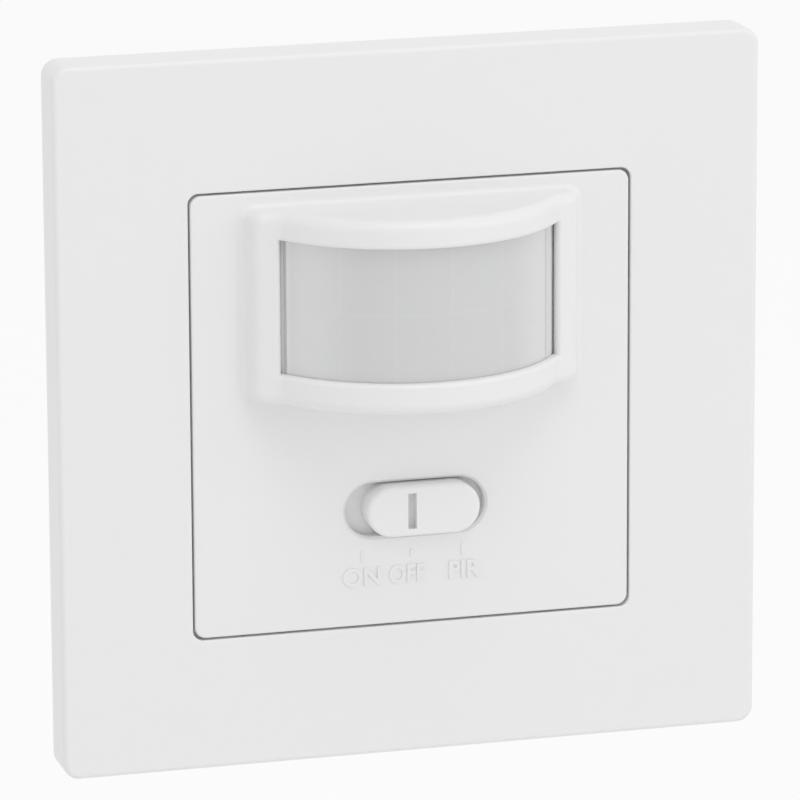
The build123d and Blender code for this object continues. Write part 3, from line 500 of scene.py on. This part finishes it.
milky = bpy.data.materials.new("milky_lens")
tree = empty_tree(milky)
from_bow_centre = add_node(tree, "ShaderNodeMapping", {
    "Vector": object_place(tree), "Location": (0, -bow_centre_y, -lens_middle_z)})
parts = add_node(tree, "ShaderNodeSeparateXYZ", {0: from_bow_centre.outputs[0]}).outputs
toward_room = calculate(tree, "MULTIPLY", parts["Y"], -1.0)
angle = calculate(tree, "ARCTAN2", parts["X"], toward_room)
column = calculate(tree, "MULTIPLY_ADD", angle, 1 / panel_angle, panel_shift)
row = calculate(tree, "MULTIPLY", parts["Z"], 1 / panel_height)
print("lens bow centre at y", round(bow_centre_y, 5))

# %% Panel borders and rings
border_width = 0.035
border_depth = 3.0
ring_density = 110.0
lens_relief = 0.00005
lens_relief_strength = 0.03


def smooth_step(tree, value, start, end):
    """Rises softly from 0 to 1 as the value goes from start to end."""
    node = add_node(tree, "ShaderNodeMapRange", {0: value, 1: start, 2: end, 3: 0.0, 4: 1.0},
                    interpolation_type="SMOOTHSTEP")
    return node.outputs[0]


def panel_share(tree, value):
    """How far a point lies from the middle of its panel: 0 in the middle, 0.5 at the border."""
    part = calculate(tree, "FRACT", value)
    return calculate(tree, "ABSOLUTE", calculate(tree, "SUBTRACT", part, 0.5))


across = panel_share(tree, column)
along = panel_share(tree, row)
borders = calculate(tree, "MAXIMUM",
                    smooth_step(tree, across, 0.5 - border_width, 0.5),
                    smooth_step(tree, along, 0.5 - border_width, 0.5))
ring_place = add_node(tree, "ShaderNodeCombineXYZ", {0: across, 1: along})
ring_radius = add_node(tree, "ShaderNodeVectorMath", {0: ring_place.outputs[0]}, operation="LENGTH")
rings = calculate(tree, "SINE", calculate(tree, "MULTIPLY", ring_radius.outputs["Value"], ring_density))
relief = calculate(tree, "MULTIPLY_ADD", borders, -border_depth, rings)
lens_normal = bump(tree, relief, lens_relief_strength, lens_relief)
print("lens panels", round(panel_angle * lens_radius * 1000, 1), "mm wide")

# %% Tone of the lens
# The ends are painted lighter than the middle, painted light for where they turn toward the bright
# walls of the window.
panel_tone = rgb(0.670, 0.672, 0.672)
border_tone = rgb(0.684, 0.686, 0.686)
painted_light_end_tone = grey(0.750)
painted_light_end_start = 0.0080
painted_light_end_stop = 0.0140
# Beside each window wall the lens is painted nearly white, a painted glow that stands in for light
# passing through the sheet into the dark corner there.
painted_glow_tone = grey(0.930)
painted_glow_start = 0.0146
painted_glow_stop = 0.0154
seam_tone = grey(0.620)
seam_x = 0.0147
seam_shift = 0.0005
seam_half_width = 0.00012

tone = mix_colours(tree, borders, panel_tone, border_tone)
sideways = calculate(tree, "ABSOLUTE", parts["X"])
# Painted light: the lens grows lighter towards both ends.
tone = mix_colours(tree, smooth_step(tree, sideways, painted_light_end_start, painted_light_end_stop), tone, painted_light_end_tone)
# Painted glow: lighter still right beside the window walls.
tone = mix_colours(tree, smooth_step(tree, sideways, painted_glow_start, painted_glow_stop), tone, painted_glow_tone)
from_seam_middle = calculate(tree, "ABSOLUTE", calculate(tree, "ADD", parts["X"], seam_shift))
on_seam = calculate(tree, "COMPARE", from_seam_middle, seam_x, seam_half_width)
tone = mix_colours(tree, on_seam, tone, seam_tone)
principled = add_node(tree, "ShaderNodeBsdfPrincipled", {
    "Base Color": tone, "Normal": lens_normal, "Roughness": 0.38,
    "Subsurface Weight": 0.15, "Subsurface Scale": 0.0006, "IOR": 1.50})
add_node(tree, "ShaderNodeOutputMaterial", {"Surface": principled.outputs[0]})
looks["lens_plastic"] = milky
print("lens finish has", len(tree.nodes), "shader nodes")

# %% Give every node its finish
slot_of = {part["node"]: part["material_slot"] for part in frame["record"]["subparts"]}
for node, piece in nodes.items():
    look = looks[slot_of[node]]
    for material_slot in piece.material_slots:
        material_slot.material = look
print("finished", len(slot_of), "nodes")

# %% [markdown]
# ## Raised words and marks
#
# Under the knob, three short marks show its places, each with its word. They are moulded
# in the same white plastic and stand only a fraction of a millimetre proud, so they show by
# their shaded edges alone. Text becomes a mesh before it is moved, so that its object stays at
# the origin as every other piece does.


# %% A helper for raised lettering
def raised_text(name, words, cap_height, rise, swell, turn, depth_place):
    """Words as one mesh piece. words is a list of (text, width share, centre x, base height)."""
    cap_share = 0.70
    weld_distance = 0.000001
    joined = bmesh.new()
    for text, width_share, centre, base in words:
        curve = bpy.data.curves.new(name, "FONT")
        curve.body = text
        curve.size = cap_height / cap_share
        curve.align_x = "CENTER"
        curve.extrude = rise / 2
        curve.offset = swell
        curve.resolution_u = 6
        writer = add_object(name, curve)
        bpy.context.view_layer.update()
        evaluated = writer.evaluated_get(bpy.context.evaluated_depsgraph_get())
        flat = bpy.data.meshes.new_from_object(evaluated)
        bpy.data.objects.remove(writer)
        bpy.data.curves.remove(curve)
        narrowed = Matrix.Scale(width_share, 4, (1, 0, 0))
        flat.transform(Matrix.Translation((centre, depth_place, base)) @ turn @ narrowed)
        joined.from_mesh(flat)
        bpy.data.meshes.remove(flat)
    bmesh.ops.remove_doubles(joined, verts=joined.verts, dist=weld_distance)
    bmesh.ops.recalc_face_normals(joined, faces=joined.faces)
    mesh = bpy.data.meshes.new(name)
    joined.to_mesh(mesh)
    joined.free()
    piece = add_object(name, mesh)
    print(name, len(mesh.polygons), "faces")
    return piece


stand_upright = Matrix.Rotation(pi / 2, 4, "X")
print("lettering helper ready")

# %% Mode words
plate_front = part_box("cover_frame")[0][1]
word_rise = 0.00015
root_depth = 0.0001
letter_thickness = word_rise + root_depth
letter_middle_y = plate_front - (word_rise - root_depth) / 2
word_height = 0.0020
word_base = -0.0204
word_swell = 0.00007

mode_words = raised_text("mode_words", (
    ("ON", 1.0, -0.0059, word_base),
    ("OFF", 0.84, -0.0007, word_base),
    ("PIR", 0.95, 0.0059, word_base),
), word_height, letter_thickness, word_swell, stand_upright, letter_middle_y)
mode_words.data.materials.append(looks["white_plastic"])
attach(mode_words, "switch_body")

# %% Mode marks
# Each mark is a small block with its room side edges broken, one for every place of the knob.
mark_width = 0.00026
mark_middle_z = -0.0171
mark_edge = 0.00004
tall_mark = 0.0013
short_mark = 0.0009

mark_mesh = bpy.data.meshes.new("mode_marks")
shape = bmesh.new()
for centre, height in ((-0.0059, tall_mark), (-0.0002, short_mark), (0.0057, tall_mark)):
    corners = bmesh.ops.create_cube(shape, size=1.0)["verts"]
    bmesh.ops.scale(shape, verts=corners, vec=(mark_width, letter_thickness, height))
    bmesh.ops.translate(shape, verts=corners, vec=(centre, letter_middle_y, mark_middle_z))
room_side = [edge for edge in shape.edges if all(v.co.y < plate_front for v in edge.verts)]
bmesh.ops.bevel(shape, geom=room_side, offset=mark_edge, affect="EDGES", segments=2,
                profile=0.5, material=-1)
shape.to_mesh(mark_mesh)
shape.free()
mode_marks = add_object("mode_marks", mark_mesh)
mark_mesh.materials.append(looks["white_plastic"])
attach(mode_marks, "switch_body")
print("marks:", len(mark_mesh.polygons), "faces")

# %% [markdown]
# ## Marks on the back
#
# Screw terminals carry plain letters for the live and neutral wires. They stand on the rear
# face of the terminal block, above the screw wells, and read from behind. The shallow place on
# the housing where a rating label would go stays bare, with only a blank sticker in it.

# %% Terminal letters
terminal_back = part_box("terminal_block")[1][1]
terminal_pitch = 0.008
letter_base = -0.0119
letter_height = 0.0017
letter_rise = 0.0003
letter_swell = 0.00003

read_from_behind = Matrix.Rotation(pi, 4, "Z") @ stand_upright
terminal_letters = raised_text("terminal_letters", (
    ("L", 1.0, -terminal_pitch, letter_base),
    ("N", 1.0, 0.0, letter_base),
    ("L1", 1.0, terminal_pitch, letter_base),
), letter_height, letter_rise, letter_swell, read_from_behind, terminal_back)
terminal_letters.data.materials.append(looks["terminal_plastic"])
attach(terminal_letters, "switch_body")

# %% Blank label
label_width = 0.0250
label_height = 0.0130
label_thickness = 0.00012
label_corner = 0.0012
label_middle_z = 0.0063
pocket_depth = 0.0003
label_middle_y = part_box("rear_housing")[1][1] - pocket_depth + label_thickness / 2

label_look = finish("label_film", moulded_skin, {
    "Colour": rgb(0.68, 0.69, 0.70), "Tone drift": 0.02, "Roughness": 0.30,
    "Grain scale": 1200.0, "Grain depth": 0.04}, Coat_Weight=0.2)
label_mesh = bpy.data.meshes.new("blank_label")
shape = bmesh.new()
bmesh.ops.create_cube(shape, size=1.0)
bmesh.ops.scale(shape, verts=shape.verts, vec=(label_width, label_thickness, label_height))
corner_edges = [edge for edge in shape.edges
                if abs(edge.verts[0].co.y - edge.verts[1].co.y) > label_thickness / 2]
bmesh.ops.bevel(shape, geom=corner_edges, offset=label_corner, affect="EDGES", segments=6,
                profile=0.5, material=-1)
bmesh.ops.translate(shape, verts=shape.verts, vec=(0, label_middle_y, label_middle_z))
shape.to_mesh(label_mesh)
shape.free()
blank_label = add_object("blank_label", label_mesh)
label_mesh.materials.append(label_look)
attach(blank_label, "switch_body")
print("label:", len(label_mesh.polygons), "faces")
